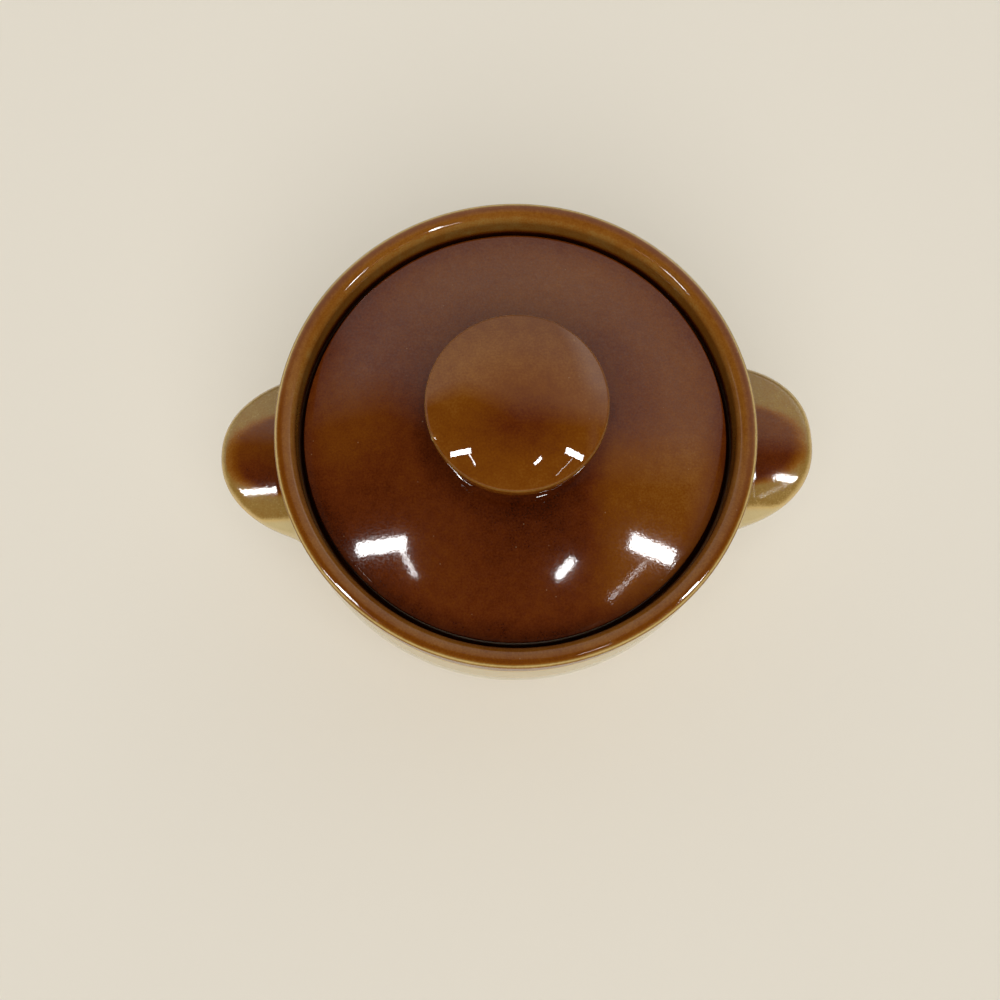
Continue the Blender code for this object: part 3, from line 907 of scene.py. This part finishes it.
# %% Glaze on the knob and below the lid
KNOB_DEPTH = 0.60
KNOB_PATCHES = ((0.20, (1, -8), (12, 8)), (-0.07, (-10, 13), (12, 10)))
KNOB_LINE = (-0.26, 0.5 * MM, 0.55 * MM)  # the pale line: its change, how far below the edge, and its width
RUN_CHANGE = -0.3
UNDERSIDE_DEPTH = 0.64
LID_WEAR = 0.6
LID_WEAR_START = (KNOB_RADIUS, 30 * MM)

knob_depth = np.full(len(z), KNOB_DEPTH)
for change, middle, reach in KNOB_PATCHES:
    knob_depth += change * spot(x, y, middle, reach)
line_change, line_drop, line_width = KNOB_LINE
from_line = np.hypot(radius - KNOB_RADIUS, z - KNOB_EDGE + line_drop)
knob_depth += line_change * np.exp(-(from_line / line_width) ** 2) + RUN_CHANGE * glaze_run
on_knob = (z > KNOB_EDGE - KNOB_SIDE) & (radius < KNOB_RADIUS + MM)
in_hollow = (radius < KNOB_HOLLOW + MM) & (z < KNOB_ROOF + MM)
beneath = (z < dome(radius) - LID_WALL / 2) | in_hollow
lid_depth_and_shade = np.where(beneath, UNDERSIDE_DEPTH, np.where(on_knob, knob_depth, dome_depth_and_shade))
seat_flat = (radius > RING_OUTER + MM) & (radius < LID_RADIUS - MM)
on_seat = (np.abs(z - SEAT_HEIGHT) < BARE_HEIGHT) & seat_flat
lid_wear = np.where(on_knob, 0.0, LID_WEAR * fade(radius, *LID_WEAR_START))
paint(lid, glaze_depth=lid_depth_and_shade, bare_clay=on_seat.astype(float), wear=lid_wear)

# %% [markdown]
# ## The glaze
# Stoneware glaze is a layer of coloured glass on fired clay: a hard, clear gloss over a colour that changes
# with the layer's depth, with clouds, mottles and fine specks where the spray fell unevenly, and a pinhole
# here and there. A picture could hold all this, but noise on Object coordinates has no seams and no borders.

# %% Colour of the glaze
GLAZE_COLOURS = {  # depth of brown glaze, with painted shade and light: what the eye sees
    0.00: "C3AF7F",  # cream glaze alone
    0.16: "C6A76A",  # straw
    0.30: "8E7038",  # olive gold
    0.45: "84521A",  # golden brown
    0.60: "6F3B08",  # amber brown
    0.80: "572407",  # red-brown
    0.92: "3E1402",  # dark treacle
    1.00: "260C02",  # nearly black: painted shade in the recess under the lid
}
BARE_CLAY = linear("B59C78")
# Clouds, mottles and specks: the size of each, how much it changes the depth, and the detail of its noise
CLOUDS = (28 * MM, 0.20, 3)
MOTTLES = (3.5 * MM, 0.11, 2)
SPECKS = (0.55 * MM, 0.20, 1)
UNEVEN_FROM = (0.05, 0.4)  # depths between which they set in, so that plain cream stays even
PINHOLE_GAP = 5 * MM
PINHOLE = 0.25 * MM
PINHOLE_SHOW = 0.4


def glaze_colour(tree, here, bare):
    """Brown glaze over cream glaze, by its painted depth and painted shade, with bare clay where it was wiped
    off.
    """
    depth = add(tree, "ShaderNodeAttribute", attribute_name="glaze_depth").outputs["Fac"]
    limits = {"Value": depth, "From Min": UNEVEN_FROM[0], "From Max": UNEVEN_FROM[1]}
    glazed = add(tree, "ShaderNodeMapRange", limits).outputs[0]
    uneven = -0.5 * sum(change for size, change, detail in (CLOUDS, MOTTLES, SPECKS))
    for size, change, detail in (CLOUDS, MOTTLES, SPECKS):
        pattern = {"Vector": here, "Scale": 1 / size, "Detail": detail}
        noise = add(tree, "ShaderNodeTexNoise", pattern).outputs["Fac"]
        terms = {0: noise, 1: change, 2: uneven}
        uneven = add(tree, "ShaderNodeMath", terms, operation="MULTIPLY_ADD").outputs[0]
    terms = {0: uneven, 1: glazed, 2: depth}
    full_depth = add(tree, "ShaderNodeMath", terms, operation="MULTIPLY_ADD").outputs[0]
    ramp = add(tree, "ShaderNodeValToRGB", {"Fac": full_depth})
    stops = ramp.color_ramp.elements
    for place, colour in GLAZE_COLOURS.items():
        stop = stops[0] if place == 0 else stops[-1] if place == 1 else stops.new(place)
        stop.color = linear(colour)
    holes = add(tree, "ShaderNodeTexVoronoi", {"Vector": here, "Scale": 1 / PINHOLE_GAP}).outputs["Distance"]
    to_hole = {"Value": holes, "From Min": PINHOLE / PINHOLE_GAP, "From Max": 0, "To Max": PINHOLE_SHOW}
    hole = add(tree, "ShaderNodeMapRange", to_hole).outputs[0]
    dotted = {0: hole, 6: ramp.outputs["Color"], 7: BARE_CLAY}
    glaze = add(tree, "ShaderNodeMix", dotted, data_type="RGBA").outputs[2]
    return add(tree, "ShaderNodeMix", {0: bare, 6: glaze, 7: BARE_CLAY}, data_type="RGBA").outputs[2]


print("glaze goes through", len(GLAZE_COLOURS), "colours")

# %% [markdown]
# ### The glaze's surface
# The gloss is crisp on the knob, a little worn on the lid and the handles, and dry on bare clay. It is not
# quite flat, like orange peel. Use leaves fine scuffs, which break up the borders of the highlights, and a
# thin speckled haze round them. The shader has a coat layer, which gives that haze with no second material.

# %% Surface of the glaze
GLOSS = (0.02, 0.045)  # roughness where the glaze is unworn and where it is worn
CLAY_ROUGHNESS = 0.8
ORANGE_PEEL = 1.5 * MM
PEEL_HEIGHT = 0.004 * MM
# Real scuffs and sparkles are much finer than a pixel, so these are as coarse as they need to be to show
SCUFF = 0.7 * MM
SCUFF_HEIGHT = 0.011 * MM
SPARKLE = 0.5 * MM
SPARKLE_FROM = (0.45, 0.65)  # values of the noise between which a sparkle sets in


def glaze_surface(tree, here, bare, wear):
    """The glaze's roughness, its normal and the weight of its haze."""
    worn = {"Value": wear, "To Min": GLOSS[0], "To Max": GLOSS[1]}
    gloss = add(tree, "ShaderNodeMapRange", worn).outputs[0]
    dry = {"Value": bare, "To Min": gloss, "To Max": CLAY_ROUGHNESS}
    roughness = add(tree, "ShaderNodeMapRange", dry).outputs[0]
    noises = []
    for size, detail in ((ORANGE_PEEL, 1), (SCUFF, 2), (SPARKLE, 1)):
        pattern = {"Vector": here, "Scale": 1 / size, "Detail": detail}
        noises.append(add(tree, "ShaderNodeTexNoise", pattern).outputs["Fac"])
    peel, scuffs, fine = noises
    wavy = add(tree, "ShaderNodeBump", {"Height": peel, "Distance": PEEL_HEIGHT}).outputs[0]
    scuffed = {"Strength": wear, "Height": scuffs, "Distance": SCUFF_HEIGHT, "Normal": wavy}
    normal = add(tree, "ShaderNodeBump", scuffed).outputs[0]
    limits = {"Value": fine, "From Min": SPARKLE_FROM[0], "From Max": SPARKLE_FROM[1]}
    sparkle = add(tree, "ShaderNodeMapRange", limits).outputs[0]
    haze = add(tree, "ShaderNodeMath", {0: wear, 1: sparkle}, operation="MULTIPLY").outputs[0]
    return roughness, normal, haze


MICRON = 0.001 * MM
print("orange peel is", round(PEEL_HEIGHT / MICRON), "microns high, and scuffs", round(SCUFF_HEIGHT / MICRON))

# %% Glaze material
GLAZE_IOR = 1.52
HAZE_SPREAD = 0.10


def stoneware_glaze(name):
    """Fired stoneware glaze: to the eye, clear glass with sharp highlights over a colour of uneven depth."""
    material = bpy.data.materials.new(name)
    material.use_nodes = True
    tree = material.node_tree
    shader = tree.nodes["Principled BSDF"]
    here = add(tree, "ShaderNodeTexCoord").outputs["Object"]
    bare = add(tree, "ShaderNodeAttribute", attribute_name="bare_clay").outputs["Fac"]
    wear = add(tree, "ShaderNodeAttribute", attribute_name="wear").outputs["Fac"]
    roughness, normal, haze = glaze_surface(tree, here, bare, wear)
    tree.links.new(glaze_colour(tree, here, bare), shader.inputs["Base Color"])
    tree.links.new(roughness, shader.inputs["Roughness"])
    tree.links.new(normal, shader.inputs["Normal"])
    tree.links.new(haze, shader.inputs["Coat Weight"])
    shader.inputs["Coat Roughness"].default_value = HAZE_SPREAD
    shader.inputs["IOR"].default_value = GLAZE_IOR
    print(name, "has", len(tree.nodes), "nodes")
    return material


# %% [markdown]
# ## Handing the pieces over
# Each piece rides on its body, so that the lid lifts off the pot, and stands for the solids it covers.

# %% Hand over
for piece, body, glaze, slot, nodes in (
    (pot, "pot", "cream_glaze_with_brown_rim", "pot_glaze", ("pot_body", "left_handle", "right_handle")),
    (lid, "lid", "treacle_brown_glaze", "lid_glaze", ("lid", "lid_knob")),
):
    piece.data.materials.append(stoneware_glaze(glaze))
    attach(piece, body)
    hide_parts(*nodes)
    print(piece.name, "rides on", body, "and stands for", nodes)

bpy.context.scene.view_settings.view_transform = "Standard"
